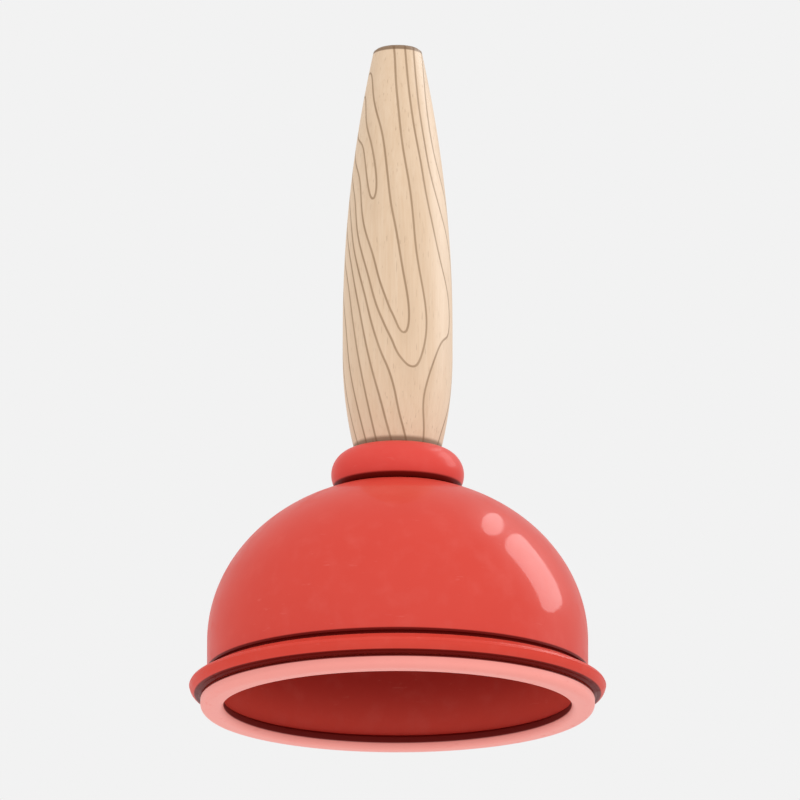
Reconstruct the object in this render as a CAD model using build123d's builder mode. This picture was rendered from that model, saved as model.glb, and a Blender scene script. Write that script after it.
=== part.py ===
from build123d import *

import os
from math import acos, asin, degrees, sqrt

# Hand plunger: a moulded rubber cup, with a soft sealing lip, on a turned wooden handle.
#
# The handle's ribbed tenon is pressed into a rubber neck collar, which grips the crown of the cup
# like a grommet. A wood screw and a wide steel washer hold the tenon from inside the cup.
#
# Millimetres. +Z runs up the handle. The origin is the middle of the lip's sealing face.

# Cup: a straight skirt below half an ellipsoid, open at the foot.
cup_r = 64.0  # outside of the skirt
wall = 3.6
skirt_h = 11.6  # from the rim's crease to where the ellipsoid begins
dome_rise = 54.8  # height of the outer ellipsoid above the skirt
crown_wall = 4.2  # wall at the top of the dome
pad_width = 4.7  # flat ring round the crown hole, which the neck collar sits on

# Rim bead round the foot of the cup.
rim_overhang = 6.0  # how far the bead stands out past the skirt
rim_lower_h = 3.8  # from the lip up to the bead's widest circle
rim_upper_h = 3.8  # from there up to the crease
rim_turn = 1.3  # width and height of the turn above the widest circle
rim_chamfer = 0.7  # on the bead's lower edge, beside the lip
crease_r = 0.9  # half-round crease between the bead and the skirt

# Sealing lip, a softer ring keyed into the underside of the rim.
lip_setback = 3.8  # lip's outside, in from the rim's widest circle
lip_width = 7.8
lip_h = 4.8  # what shows below the rim
lip_edge_r = 2.4  # rounding of the two edges that meet the floor
lip_chamfer = 0.7  # on the two edges beside the rim
key_width = 2.6  # rib on top of the lip
key_h = 2.6
key_clearance = 0.1

# Tenon at the handle's lower end, with saw-toothed ribs.
tenon_r = 12.0
tenon_length = 25.0  # from the shoulder
tenon_lead = 1.0  # chamfer on its end
rib_count = 4
rib_pitch = 4.2
rib_h = 0.9
rib_slope = 3.0  # height of a rib's gentle lower side
shoulder_step = 2.0  # how far the shoulder stands out past the tenon
shoulder_cone = 2.4  # height of the cone under the shoulder

# Handle above its shoulder.
belly_r = 18.55
belly_rise = 35.1  # from the shoulder to the lower end of the straight belly
belly_length = 9.5
taper_length = 97.5  # from the belly to the end of the handle
handle_end_r = 8.0
end_chamfer = 0.9

# Neck collar, seated in the crown hole.
socket_clearance = 0.1  # between the collar and the tenon
waist_wall = 3.3  # rubber between a rib's tip and the crown hole
seat_clearance = 0.2  # between the collar and the crown, all round
bead_round_r = 8.4  # section of the bead above the crown
bead_lift = 5.7  # middle of that section above the crown pad
mouth_depth = 2.0  # from the top of the collar down to the handle's shoulder
mouth_gap = 0.4  # between the collar's mouth and the handle
mouth_flare = 0.6  # how much wider the mouth is at its top
flange_width = 3.9  # collar's flange under the crown, out from the crown hole
flange_h = 2.0
foot_margin = 2.4  # collar's foot, out past the washer
foot_round = 1.5
web = 5.0  # rubber between the tenon's end and the washer

# Washer and wood screw, fastened from inside the cup.
washer_r = 15.0
washer_thickness = 1.5
washer_edge = 0.3
shank_r = 2.4
core_r = 1.75  # at the root of the thread
screw_length = 30.0  # under the head
plain_length = 9.0  # unthreaded length under the head
point_length = 4.0
thread_pitch = 2.1
thread_h = 0.8
thread_foot = 0.55  # half the width of the thread at its root
thread_root = 0.3  # how far the thread's section reaches into the core
hole_clearance = 0.25  # round the shank
pilot_overrun = 1.0  # pilot hole past the screw's point
head_r = 4.8
head_h = 3.0
head_round = 1.4
recess_width = 1.3
recess_span = 5.2
recess_depth = 1.8

# Radii worked out from the sizes above.
rim_r = cup_r + rim_overhang
cavity_r = cup_r - wall
lip_outer_r = rim_r - lip_setback
lip_inner_r = lip_outer_r - lip_width
key_outer_r = (cavity_r + lip_outer_r + key_width) / 2
key_inner_r = key_outer_r - key_width
shoulder_r = tenon_r + shoulder_step
mouth_r = shoulder_r + mouth_gap
waist_r = tenon_r + rib_h + socket_clearance + waist_wall
crown_hole_r = waist_r + seat_clearance
pad_r = crown_hole_r + pad_width
flange_r = crown_hole_r + flange_width
foot_r = washer_r + foot_margin
shank_hole_r = shank_r + hole_clearance

# Heights worked out from the sizes above.
rim_mid_z = lip_h + rim_lower_h
rim_top_z = rim_mid_z + rim_upper_h
dome_z = rim_top_z + skirt_h
cavity_rise = dome_rise - crown_wall
crown_top_z = dome_z + dome_rise * sqrt(1 - (pad_r / cup_r) ** 2)
crown_under_z = dome_z + cavity_rise * sqrt(1 - (pad_r / cavity_r) ** 2)
bead_foot_z = crown_top_z + seat_clearance
bead_z = crown_top_z + bead_lift
shoulder_z = bead_z + bead_round_r - mouth_depth
belly_z = shoulder_z + belly_rise
taper_z = belly_z + belly_length
handle_end_z = taper_z + taper_length
tenon_end_z = shoulder_z - tenon_length
flange_top_z = crown_under_z - seat_clearance
foot_z = tenon_end_z - socket_clearance - web
head_z = foot_z - washer_thickness
thread_z = head_z + plain_length
screw_tip_z = head_z + screw_length
thread_length = screw_length - plain_length - point_length - 2 * thread_foot


def ribbed_side(grow):
    """The tenon's side as (radius, height) points, from its end up to the shoulder's cone."""
    r = tenon_r + grow
    points = [(r - tenon_lead, tenon_end_z - grow), (r, tenon_end_z + tenon_lead)]
    for n in range(rib_count):
        rib_z = tenon_end_z + 2 * tenon_lead + n * rib_pitch
        points += [
            (r, rib_z),
            (r + rib_h, rib_z + rib_slope),
            (r, rib_z + rib_slope + rib_h / 2),
        ]
    return points + [(r, shoulder_z - shoulder_cone)]


# Cup of firm rubber: skirt, dome and rim bead in one moulding.
with BuildPart() as cup_dome:
    with BuildSketch(Plane.XZ):
        with BuildLine():
            EllipticalCenterArc(
                (0, dome_z), cup_r, dome_rise, arc_size=degrees(acos(pad_r / cup_r))
            )
            Polyline(
                (pad_r, crown_top_z),
                (crown_hole_r, crown_top_z),
                (crown_hole_r, crown_under_z),
                (pad_r, crown_under_z),
            )
            EllipticalCenterArc(
                (0, dome_z), cavity_r, cavity_rise, arc_size=degrees(acos(pad_r / cavity_r))
            )
            Polyline(
                (cavity_r, dome_z),
                (cavity_r, lip_h),
                (lip_outer_r, lip_h),
                (lip_outer_r + rim_chamfer, lip_h + rim_chamfer),
            )
            TangentArc(
                (rim_r, rim_mid_z),
                (lip_outer_r + rim_chamfer, lip_h + rim_chamfer),
                tangent=(0, -1),
            )
            TangentArc(
                (rim_r, rim_mid_z),
                (rim_r - rim_turn, rim_mid_z + rim_turn),
                tangent=(0, 1),
            )
            Polyline(
                (rim_r - rim_turn, rim_mid_z + rim_turn),
                (cup_r, rim_top_z),
                (cup_r, dome_z),
            )
        make_face()
    revolve(axis=Axis.Z)
    with BuildSketch(Plane.XZ):
        with Locations((cup_r, rim_top_z)):
            Circle(crease_r)
    revolve(axis=Axis.Z, mode=Mode.SUBTRACT)
    with BuildSketch(Plane.XY.offset(lip_h)):
        Circle(key_outer_r + key_clearance)
        Circle(key_inner_r - key_clearance, mode=Mode.SUBTRACT)
    extrude(amount=key_h + key_clearance, mode=Mode.SUBTRACT)

# Sealing lip of soft rubber, keyed into the groove under the rim.
with BuildPart() as sealing_lip:
    with BuildSketch():
        Circle(lip_outer_r)
        Circle(lip_inner_r, mode=Mode.SUBTRACT)
    extrude(amount=lip_h)
    fillet(sealing_lip.edges().group_by(Axis.Z)[0], lip_edge_r)
    chamfer(sealing_lip.edges().group_by(Axis.Z)[-1], lip_chamfer)
    with BuildSketch(Plane.XY.offset(lip_h)):
        Circle(key_outer_r)
        Circle(key_inner_r, mode=Mode.SUBTRACT)
    extrude(amount=key_h)

# Neck collar: the bead above the crown, the waist in its hole, and the foot below it.
with BuildPart() as neck_collar:
    bead_start = -degrees(asin((bead_z - bead_foot_z) / bead_round_r))
    bead_end = degrees(acos((mouth_gap + mouth_flare) / bead_round_r))
    with BuildSketch(Plane.XZ):
        with BuildLine():
            bead = CenterArc(
                (shoulder_r, bead_z), bead_round_r, bead_start, bead_end - bead_start
            )
            Polyline(
                bead @ 0,
                (waist_r, bead_foot_z),
                (waist_r, flange_top_z),
                (flange_r, flange_top_z),
                (flange_r, flange_top_z - flange_h),
                (foot_r, foot_z),
                (0, foot_z),
                (0, foot_z + web),
                *ribbed_side(socket_clearance),
                (mouth_r, shoulder_z),
                bead @ 1,
            )
        make_face()
    revolve(axis=Axis.Z)
    fillet(neck_collar.edges().group_by(Axis.Z)[0], foot_round)
    with BuildSketch(Plane.XY.offset(foot_z)):
        Circle(shank_hole_r)
    extrude(amount=web, mode=Mode.SUBTRACT)

# Handle, turned from one piece, bored for the screw's shank and thread.
with BuildPart() as handle:
    with BuildSketch(Plane.XZ):
        with BuildLine():
            TangentArc((belly_r, belly_z), (shoulder_r, shoulder_z), tangent=(0, -1))
            Line((belly_r, belly_z), (belly_r, taper_z))
            TangentArc((belly_r, taper_z), (handle_end_r, handle_end_z), tangent=(0, 1))
            Polyline(
                (handle_end_r, handle_end_z),
                (0, handle_end_z),
                (0, tenon_end_z),
                *ribbed_side(0),
                (shoulder_r, shoulder_z),
            )
        make_face()
    revolve(axis=Axis.Z)
    chamfer(handle.edges().group_by(Axis.Z)[-1], end_chamfer)
    with BuildSketch(Plane.XY.offset(tenon_end_z)):
        Circle(core_r)
    extrude(amount=screw_tip_z + pilot_overrun - tenon_end_z, mode=Mode.SUBTRACT)
    with BuildSketch(Plane.XY.offset(tenon_end_z)):
        Circle(shank_hole_r)
    extrude(amount=thread_z - tenon_end_z, mode=Mode.SUBTRACT)

# Wide steel washer under the collar's foot.
with BuildPart() as backing_washer:
    with BuildSketch(Plane.XY.offset(head_z)):
        Circle(washer_r)
        Circle(shank_hole_r, mode=Mode.SUBTRACT)
    extrude(amount=washer_thickness)
    fillet(backing_washer.edges().filter_by(GeomType.CIRCLE), washer_edge)

# Pan-head wood screw with a cross recess. Its thread bites into the pilot hole's wall.
with BuildPart() as fixing_screw:
    with BuildSketch(Plane.XY.offset(head_z)):
        Circle(head_r)
    extrude(amount=-head_h)
    fillet(fixing_screw.edges().group_by(Axis.Z)[0], head_round)
    with BuildSketch(Plane.XZ):
        with BuildLine():
            Polyline(
                (0, head_z),
                (shank_r, head_z),
                (shank_r, thread_z - shank_r + core_r),
                (core_r, thread_z),
                (core_r, screw_tip_z - point_length),
                (0, screw_tip_z),
                close=True,
            )
        make_face()
    revolve(axis=Axis.Z)
    with BuildLine(Plane.XY.offset(thread_z + thread_foot)):
        turns = Helix(thread_pitch, thread_length, core_r)
    with BuildSketch(Plane(origin=turns @ 0, x_dir=(1, 0, 0), z_dir=turns % 0)):
        with BuildLine():
            Polyline(
                (-thread_root, -thread_foot),
                (thread_h, 0),
                (-thread_root, thread_foot),
                close=True,
            )
        make_face()
    sweep(path=turns, is_frenet=True)
    with BuildSketch(Plane.XY.offset(head_z - head_h)):
        Rectangle(recess_span, recess_width)
        Rectangle(recess_width, recess_span)
    extrude(amount=recess_depth, mode=Mode.SUBTRACT)

os.makedirs("parts", exist_ok=True)
cup_dome.part.label = "cup_dome"
export_step(cup_dome.part, "parts/cup_dome.step")
sealing_lip.part.label = "sealing_lip"
export_step(sealing_lip.part, "parts/sealing_lip.step")
neck_collar.part.label = "neck_collar"
export_step(neck_collar.part, "parts/neck_collar.step")
handle.part.label = "handle"
export_step(handle.part, "parts/handle.step")
backing_washer.part.label = "backing_washer"
export_step(backing_washer.part, "parts/backing_washer.step")
fixing_screw.part.label = "fixing_screw"
export_step(fixing_screw.part, "parts/fixing_screw.step")
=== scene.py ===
from math import acos, asin, ceil, cos, degrees, hypot, pi, radians, sin, sqrt

import bmesh
import bpy
import numpy as np
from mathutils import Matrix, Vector


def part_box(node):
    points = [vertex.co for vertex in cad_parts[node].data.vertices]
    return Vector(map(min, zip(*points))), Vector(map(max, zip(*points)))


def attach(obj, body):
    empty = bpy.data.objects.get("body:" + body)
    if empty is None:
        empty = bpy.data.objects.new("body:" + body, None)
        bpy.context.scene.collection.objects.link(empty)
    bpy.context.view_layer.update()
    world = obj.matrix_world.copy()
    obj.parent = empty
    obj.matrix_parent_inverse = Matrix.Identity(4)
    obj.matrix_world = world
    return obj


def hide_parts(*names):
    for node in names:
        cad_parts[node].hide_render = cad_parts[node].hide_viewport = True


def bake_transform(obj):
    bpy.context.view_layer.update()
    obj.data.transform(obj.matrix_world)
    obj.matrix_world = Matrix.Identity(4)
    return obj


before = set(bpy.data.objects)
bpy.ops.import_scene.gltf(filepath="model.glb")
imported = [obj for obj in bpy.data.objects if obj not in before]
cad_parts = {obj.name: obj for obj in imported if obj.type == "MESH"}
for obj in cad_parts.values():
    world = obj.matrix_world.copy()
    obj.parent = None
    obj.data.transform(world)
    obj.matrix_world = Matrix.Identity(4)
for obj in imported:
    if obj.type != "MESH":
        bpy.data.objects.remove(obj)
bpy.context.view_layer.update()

# Toilet plunger: a moulded rubber cup with a soft lip and a neck collar, on a turned wooden
# handle, with a plated washer and screw inside the cup. Outlines are (radius, height) in
# millimetres about the handle's axis, and become metres when they are turned.
MM = 0.001


def box_mm(node):
    """Lowest and highest corner of a CAD node, in millimetres."""
    low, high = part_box(node)
    return low / MM, high / MM


cup_low, cup_high = box_mm("cup_dome")
lip_high = box_mm("sealing_lip")[1]
collar_low, collar_high = box_mm("neck_collar")
handle_low, handle_high = box_mm("handle")
washer_low, washer_high = box_mm("backing_washer")
screw_low, screw_high = box_mm("fixing_screw")

# Cup.
RIM_R = cup_high.x
RIM_OVERHANG = 6.0
RIM_LOWER_H = 3.8
RIM_UPPER_H = 3.8
RIM_FOOT_Z = cup_low.z
RIM_MID_Z = RIM_FOOT_Z + RIM_LOWER_H
RIM_TOP_Z = RIM_MID_Z + RIM_UPPER_H
RIM_TURN = 1.3
RIM_CHAMFER = 0.7
FLASH_H = 0.12  # moulding line left round the widest circle of the rim
FLASH_TURNS = (12, -6)  # where the rim's two turns stop beside that line, in degrees
CUP_R = RIM_R - RIM_OVERHANG
WALL = 3.6
CAVITY_R = CUP_R - WALL
CREASE_R = 0.9
SKIRT_H = 11.6
DOME_Z = RIM_TOP_Z + SKIRT_H
CROWN_TOP_Z = cup_high.z
CROWN_WALL = 4.2
PAD_R = 21.2
CROWN_HOLE_R = 16.5
DOME_RISE = (CROWN_TOP_Z - DOME_Z) / sqrt(1 - (PAD_R / CUP_R) ** 2)
CAVITY_RISE = DOME_RISE - CROWN_WALL
CROWN_UNDER_Z = DOME_Z + CAVITY_RISE * sqrt(1 - (PAD_R / CAVITY_R) ** 2)
CUP_EDGE = 0.3

# Lip, with the rib that keys it into the rim.
LIP_WIDTH = 7.8
LIP_OUTER_R = lip_high.x
LIP_INNER_R = LIP_OUTER_R - LIP_WIDTH
LIP_ROUND = 2.4
LIP_CHAMFER = 0.7
LIP_EDGE = 0.2
KEY_WIDTH = 2.6
KEY_OUTER_R = (CAVITY_R + LIP_OUTER_R + KEY_WIDTH) / 2
KEY_INNER_R = KEY_OUTER_R - KEY_WIDTH
KEY_TOP_Z = lip_high.z
KEY_CLEARANCE = 0.1

# Handle, with its ribbed tenon and the bore for the screw.
TENON_R = 12.0
TENON_LENGTH = 25.0
TENON_LEAD = 1.0
TENON_END_Z = handle_low.z
RIBS = 4
RIB_PITCH = 4.2
RIB_H = 0.9
RIB_SLOPE = 3.0
SHOULDER_STEP = 2.0
SHOULDER_CONE = 2.4
SHOULDER_R = TENON_R + SHOULDER_STEP
SHOULDER_Z = TENON_END_Z + TENON_LENGTH
BELLY_R = handle_high.x
BELLY_RISE = 35.1
BELLY_LENGTH = 9.5
BELLY_LOW_Z = SHOULDER_Z + BELLY_RISE
BELLY_HIGH_Z = BELLY_LOW_Z + BELLY_LENGTH
HANDLE_END_R = 8.0
HANDLE_END_Z = handle_high.z
END_CHAMFER = 0.9
END_SPREAD = 0.2  # how much wider the handle is where the chamfer begins
HANDLE_EDGE = 0.4
PILOT_R = 1.75
PILOT_LENGTH = 24.4
PILOT_TOP_Z = TENON_END_Z + PILOT_LENGTH
SHANK_BORE_R = 2.65
SHANK_BORE_LENGTH = 2.4
SHANK_BORE_TOP_Z = TENON_END_Z + SHANK_BORE_LENGTH

# Neck collar.
BEAD_R = collar_high.x
BEAD_ROUND_R = BEAD_R - SHOULDER_R
BEAD_LIFT = 5.7
BEAD_Z = CROWN_TOP_Z + BEAD_LIFT
SEAT_CLEARANCE = 0.2
BEAD_FOOT_Z = CROWN_TOP_Z + SEAT_CLEARANCE
MOUTH_GAP = 0.4
MOUTH_FLARE = 0.6
MOUTH_R = SHOULDER_R + MOUTH_GAP
WAIST_R = CROWN_HOLE_R - SEAT_CLEARANCE
LOWER_SOCKET_H = 10.2
WAIST_SPLIT_Z = TENON_END_Z + LOWER_SOCKET_H
SOCKET_CLEARANCE = 0.1
FLANGE_WIDTH = 3.9
FLANGE_H = 2.0
FLANGE_R = CROWN_HOLE_R + FLANGE_WIDTH
FLANGE_TOP_Z = CROWN_UNDER_Z - SEAT_CLEARANCE
FOOT_MARGIN = 2.4
FOOT_R = washer_high.x + FOOT_MARGIN
FOOT_Z = collar_low.z
FOOT_ROUND = 1.5
WEB = 5.0
WEB_TOP_Z = FOOT_Z + WEB
COLLAR_EDGE = 0.35

# Washer, and the wood screw that goes through it into the tenon.
WASHER_R = washer_high.x
WASHER_EDGE = 0.35
HEAD_R = screw_high.x
HEAD_FOOT_Z = screw_low.z
HEAD_TOP_Z = washer_low.z
HEAD_ROUND = 1.4
SCREW_EDGE = 0.2
SHANK_R = 2.4
CORE_R = PILOT_R
PLAIN_LENGTH = 9.0
POINT_LENGTH = 4.0
THREAD_Z = HEAD_TOP_Z + PLAIN_LENGTH
SCREW_TIP_Z = screw_high.z
POINT_Z = SCREW_TIP_Z - POINT_LENGTH
THREAD_SIZES = {
    "Thread Start": THREAD_Z,
    "Point": POINT_Z,
    "Tip": SCREW_TIP_Z,
    "Pitch": 2.1,
    "Height": 0.8,
    "Half Width": 0.4,
    "Half Crest": 0.07,
}
RECESS_SIZES = {
    "Head Foot": HEAD_FOOT_Z,
    "Span": 5.2,
    "Width": 1.3,
    "Depth": 1.8,
    "Span Taper": 0.6,
    "Width Taper": 0.2,
}

# How finely the pieces are turned.
POINT_STEP = 1.2
ARC_STEP = 7.5  # degrees
CORNER_STEPS = 4
CORNER_BEND = 15  # degrees, under which a bend counts as part of a curve
CORNER_SHARE = 0.45  # most of a straight run that the rounding of one corner may take
CUP_SEGMENTS = 192
GRAIN_STEP = 0.7  # the handle is turned more finely, because its points carry the grain
HANDLE_SEGMENTS = 180
WASHER_SEGMENTS = 96
HEAD_STEP = 0.6
THREAD_STEP = 0.14
SCREW_SEGMENTS = 60
SHARP_BEND = 30  # degrees, over which an edge of the screw's head is shaded sharp
WELD = 0.001  # points nearer to each other than this become one

# Factors for vectors.
TO_MM = (1 / MM, 1 / MM, 1 / MM)
FLAT = (1.0, 1.0, 0.0)  # leaves out the height
WHITE = (1.0, 1.0, 1.0, 1.0)


# --- Node trees ---------------------------------------------------------------------------


class Signal:
    """A node's output. Arithmetic on it adds Math nodes to its graph."""

    def __init__(self, graph, socket):
        self.graph = graph
        self.socket = socket

    def __add__(self, other):
        return self.graph.math("ADD", self, other)

    __radd__ = __add__

    def __sub__(self, other):
        return self.graph.math("SUBTRACT", self, other)

    def __rsub__(self, other):
        return self.graph.math("SUBTRACT", other, self)

    def __mul__(self, other):
        return self.graph.math("MULTIPLY", self, other)

    __rmul__ = __mul__

    def __truediv__(self, other):
        return self.graph.math("DIVIDE", self, other)

    def __abs__(self):
        return self.graph.math("ABSOLUTE", self)

    def floor(self):
        return self.graph.math("FLOOR", self)

    def root(self):
        return self.graph.math("SQRT", self)

    def fraction(self):
        return self.graph.math("FRACT", self)

    def off_whole(self):
        """How far it is from the nearest whole number."""
        return abs((self + 0.5).fraction() - 0.5)

    def at_least(self, other):
        return self.graph.math("MAXIMUM", self, other)

    def within_one(self):
        """Held between 0 and 1."""
        return self.graph.math("MINIMUM", self.at_least(0.0), 1.0)

    def over(self, limit):
        """1 where it is more than the limit, else 0."""
        return self.graph.math("GREATER_THAN", self, limit)

    def under(self, limit):
        """1 where it is less than the limit, else 0."""
        return self.graph.math("LESS_THAN", self, limit)

    def rising(self, low, high):
        """0 below low and 1 above high, with a soft step between."""
        return self.graph.node(
            "ShaderNodeMapRange",
            {"interpolation_type": "SMOOTHSTEP"},
            {"Value": self, "From Min": low, "From Max": high},
        )

    def falling(self, low, high):
        """1 below low and 0 above high, with a soft step between."""
        return 1 - self.rising(low, high)


class Graph:
    """A node tree while it is being built."""

    def __init__(self, tree):
        self.tree = tree
        self.tree.nodes.clear()

    def node(self, kind, settings=None, values=None, output=0):
        """Adds a node, makes its settings, then sets or links its inputs."""
        made = self.tree.nodes.new(kind)
        for name, setting in (settings or {}).items():
            setattr(made, name, setting)
        for name, value in (values or {}).items():
            if isinstance(value, Signal):
                self.tree.links.new(value.socket, made.inputs[name])
            else:
                made.inputs[name].default_value = value
        return Signal(self, made.outputs[output]) if made.outputs else None

    def outputs(self, kind, values=None):
        """Adds a node, and gives all its outputs by their names."""
        made = self.node(kind, {}, values).socket.node
        return {output.name: Signal(self, output) for output in made.outputs}

    def math(self, operation, *values):
        """A Math node on numbers and signals."""
        return self.node("ShaderNodeMath", {"operation": operation}, dict(enumerate(values)))

    def mix(self, factor, first, second):
        """The first colour where factor is 0, the second where it is 1."""
        # The Mix node's colour sockets come after those for numbers and vectors.
        first_socket, second_socket, colour_output = 6, 7, 2
        values = {"Factor": factor, first_socket: first, second_socket: second}
        return self.node("ShaderNodeMix", {"data_type": "RGBA"}, values, output=colour_output)

    def scaled(self, vector, factors):
        """A vector times three factors."""
        settings = {"operation": "MULTIPLY"}
        return self.node("ShaderNodeVectorMath", settings, {0: vector, 1: factors})

    def length(self, vector):
        settings = {"operation": "LENGTH"}
        return self.node("ShaderNodeVectorMath", settings, {0: vector}, output="Value")

    def joined(self, x, y, z):
        """A vector from its three numbers."""
        return self.node("ShaderNodeCombineXYZ", {}, {"X": x, "Y": y, "Z": z})

    def parts(self, vector):
        """A vector's three numbers."""
        split = self.outputs("ShaderNodeSeparateXYZ", {"Vector": vector})
        return split["X"], split["Y"], split["Z"]

    def noise(self, place, size, detail=2.0, stretch=(1.0, 1.0, 1.0)):
        """Noise from 0 to 1 whose lumps are about size millimetres, longer by stretch."""
        squeezed = self.scaled(place, tuple(1 / s for s in stretch))
        values = {"Vector": squeezed, "Scale": 1 / size, "Detail": detail}
        return self.node("ShaderNodeTexNoise", {}, values)

    def bump(self, height, depth):
        """A normal from a height of 0 to 1, which stands for depth millimetres."""
        values = {"Height": height, "Distance": depth * MM, "Strength": 1.0}
        return self.node("ShaderNodeBump", {}, values)


# --- Turning and cutting ------------------------------------------------------------------

TURNING_INPUTS = {"Outline": "Geometry", "Segments": "Int", "Finish": "Material"}


def geometry_tree(name, inputs):
    """A Geometry Nodes tree with named inputs, as a graph and a signal for each input."""
    tree = bpy.data.node_groups.new(name, "GeometryNodeTree")
    face = tree.interface
    for label, kind in inputs.items():
        face.new_socket(name=label, in_out="INPUT", socket_type="NodeSocket" + kind)
    face.new_socket(name="Piece", in_out="OUTPUT", socket_type="NodeSocketGeometry")
    graph = Graph(tree)
    return graph, graph.outputs("NodeGroupInput")


def end_tree(graph, geometry, material):
    """Ends a Geometry Nodes tree with real geometry in its finish."""
    real = graph.node("GeometryNodeRealizeInstances", {}, {"Geometry": geometry})
    dressed = {"Geometry": real, "Material": material}
    finished = graph.node("GeometryNodeSetMaterial", {}, dressed)
    graph.node("NodeGroupOutput", {}, {"Piece": finished})
    return graph.tree


def turning_tree():
    """Geometry Nodes that turn an outline about Z, and keep each point's place as an attribute."""
    graph, given = geometry_tree("turning", TURNING_INPUTS)
    outline, segments = given["Outline"], given["Segments"]
    count = graph.node("GeometryNodeAttributeDomainSize", {}, {"Geometry": outline})
    columns = segments + 1
    grid = graph.node("GeometryNodeMeshGrid", {}, {"Vertices X": count, "Vertices Y": columns})
    index = graph.node("GeometryNodeInputIndex")
    row = ((index + 0.5) / columns).floor()
    column = index - row * columns
    point = graph.node(
        "GeometryNodeSampleIndex",
        {"data_type": "FLOAT_VECTOR", "domain": "POINT"},
        {"Geometry": outline, "Value": graph.node("GeometryNodeInputPosition"), "Index": row},
    )
    swung = graph.node(
        "ShaderNodeVectorRotate",
        {"rotation_type": "Z_AXIS"},
        {"Vector": point, "Angle": column * (2 * pi) / segments},
    )
    shell = graph.node("GeometryNodeSetPosition", {}, {"Geometry": grid, "Position": swung})
    welding = {"Geometry": shell, "Distance": WELD * MM}
    welded = graph.node("GeometryNodeMergeByDistance", {}, welding)
    smooth = graph.node("GeometryNodeSetShadeSmooth", {}, {"Geometry": welded})
    place = graph.scaled(graph.node("GeometryNodeInputPosition"), TO_MM)
    placed = graph.node(
        "GeometryNodeStoreNamedAttribute",
        {"data_type": "FLOAT_VECTOR", "domain": "POINT"},
        {"Geometry": smooth, "Name": "place", "Value": place},
    )
    return end_tree(graph, placed, given["Finish"])


TURNING = turning_tree()


def threaded(graph, blank, given):
    """The blank with a helical thread, which grows in one turn and runs out over the point."""
    place = graph.scaled(graph.node("GeometryNodeInputPosition"), TO_MM)
    x, y, z = graph.parts(place)
    radius = graph.length(graph.scaled(place, FLAT))
    risen = (z - given["Thread Start"]) / given["Pitch"]
    turns = risen - graph.math("ARCTAN2", y, x) / (2 * pi)
    away = turns.off_whole() * given["Pitch"]
    flank = (given["Half Width"] - away) / (given["Half Width"] - given["Half Crest"])
    run_out = (given["Tip"] - z) / (given["Tip"] - given["Point"])
    height = given["Height"] * flank.within_one() * risen.within_one() * run_out.within_one()
    # On the axis, where the radius is nothing, the Divide node gives nothing too.
    widen = height / radius + 1
    raised = graph.joined(x * widen * MM, y * widen * MM, z * MM)
    return graph.node("GeometryNodeSetPosition", {}, {"Geometry": blank, "Position": raised})


def recessed(graph, screw, given):
    """The screw with a cross recess cut up into its head, narrower towards its floor."""
    span, width, depth = given["Span"] * MM, given["Width"] * MM, given["Depth"] * MM
    foot = given["Head Foot"] * MM
    block = graph.node("GeometryNodeMeshCube", {}, {"Size": graph.joined(span, width, depth * 2)})
    x, y, z = graph.parts(graph.node("GeometryNodeInputPosition"))
    deeper = z / depth
    narrow_x = x * (1 - deeper * given["Span Taper"])
    narrow_y = y * (1 - deeper * given["Width Taper"])
    narrowed = {"Geometry": block, "Position": graph.joined(narrow_x, narrow_y, z + foot)}
    wing = graph.node("GeometryNodeSetPosition", {}, narrowed)
    cutting = {"operation": "DIFFERENCE", "solver": "EXACT"}
    for turn in (0.0, pi / 2):
        turning = {"Geometry": wing, "Rotation": (0.0, 0.0, turn)}
        tool = graph.node("GeometryNodeTransform", {}, turning)
        screw = graph.node("GeometryNodeMeshBoolean", cutting, {"Mesh 1": screw, "Mesh 2": tool})
    angle = graph.node("GeometryNodeInputMeshEdgeAngle")
    height = graph.parts(graph.node("GeometryNodeInputPosition"))[2]
    sharp = angle.over(radians(SHARP_BEND)) * height.under(foot + depth)
    return graph.node(
        "GeometryNodeSetShadeSmooth",
        {"domain": "EDGE"},
        {"Geometry": screw, "Selection": sharp, "Shade Smooth": False},
    )


def screw_tree():
    """Geometry Nodes that turn a screw, raise its thread and cut its cross recess."""
    sizes = {label: "Float" for label in (*THREAD_SIZES, *RECESS_SIZES)}
    graph, given = geometry_tree("screw", {**TURNING_INPUTS, **sizes})
    turning = {label: given[label] for label in TURNING_INPUTS}
    blank = graph.node("GeometryNodeGroup", {"node_tree": TURNING}, turning)
    screw = threaded(graph, blank, given)
    # Turned upwards, its faces point inwards, and the cut needs them outwards.
    outwards = graph.node("GeometryNodeFlipFaces", {}, {"Mesh": screw})
    return end_tree(graph, recessed(graph, outwards, given), given["Finish"])


SCREW = screw_tree()


def built(name, tree, outline, inputs):
    """A piece made by a Geometry Nodes tree, as a plain mesh with its normals outwards."""
    mesh = bpy.data.meshes.new(name)
    mesh.from_pydata([(r * MM, 0.0, z * MM) for r, z in outline], [], [])
    piece = bpy.data.objects.new(name, mesh)
    bpy.context.scene.collection.objects.link(piece)
    modifier = piece.modifiers.new("making", "NODES")
    modifier.node_group = tree
    for socket in tree.interface.items_tree:
        if socket.name in inputs:
            modifier[socket.identifier] = inputs[socket.name]
    evaluated = piece.evaluated_get(bpy.context.evaluated_depsgraph_get())
    solid = bpy.data.meshes.new_from_object(evaluated)
    piece.modifiers.remove(modifier)
    piece.data = solid
    shape = bmesh.new()
    shape.from_mesh(solid)
    bmesh.ops.recalc_face_normals(shape, faces=shape.faces)
    shape.to_mesh(solid)
    shape.free()
    return piece


def turned(name, outline, material, segments):
    """A piece turned from its outline."""
    return built(name, TURNING, outline, {"Segments": segments, "Finish": material})


# --- Outlines -----------------------------------------------------------------------------


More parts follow.
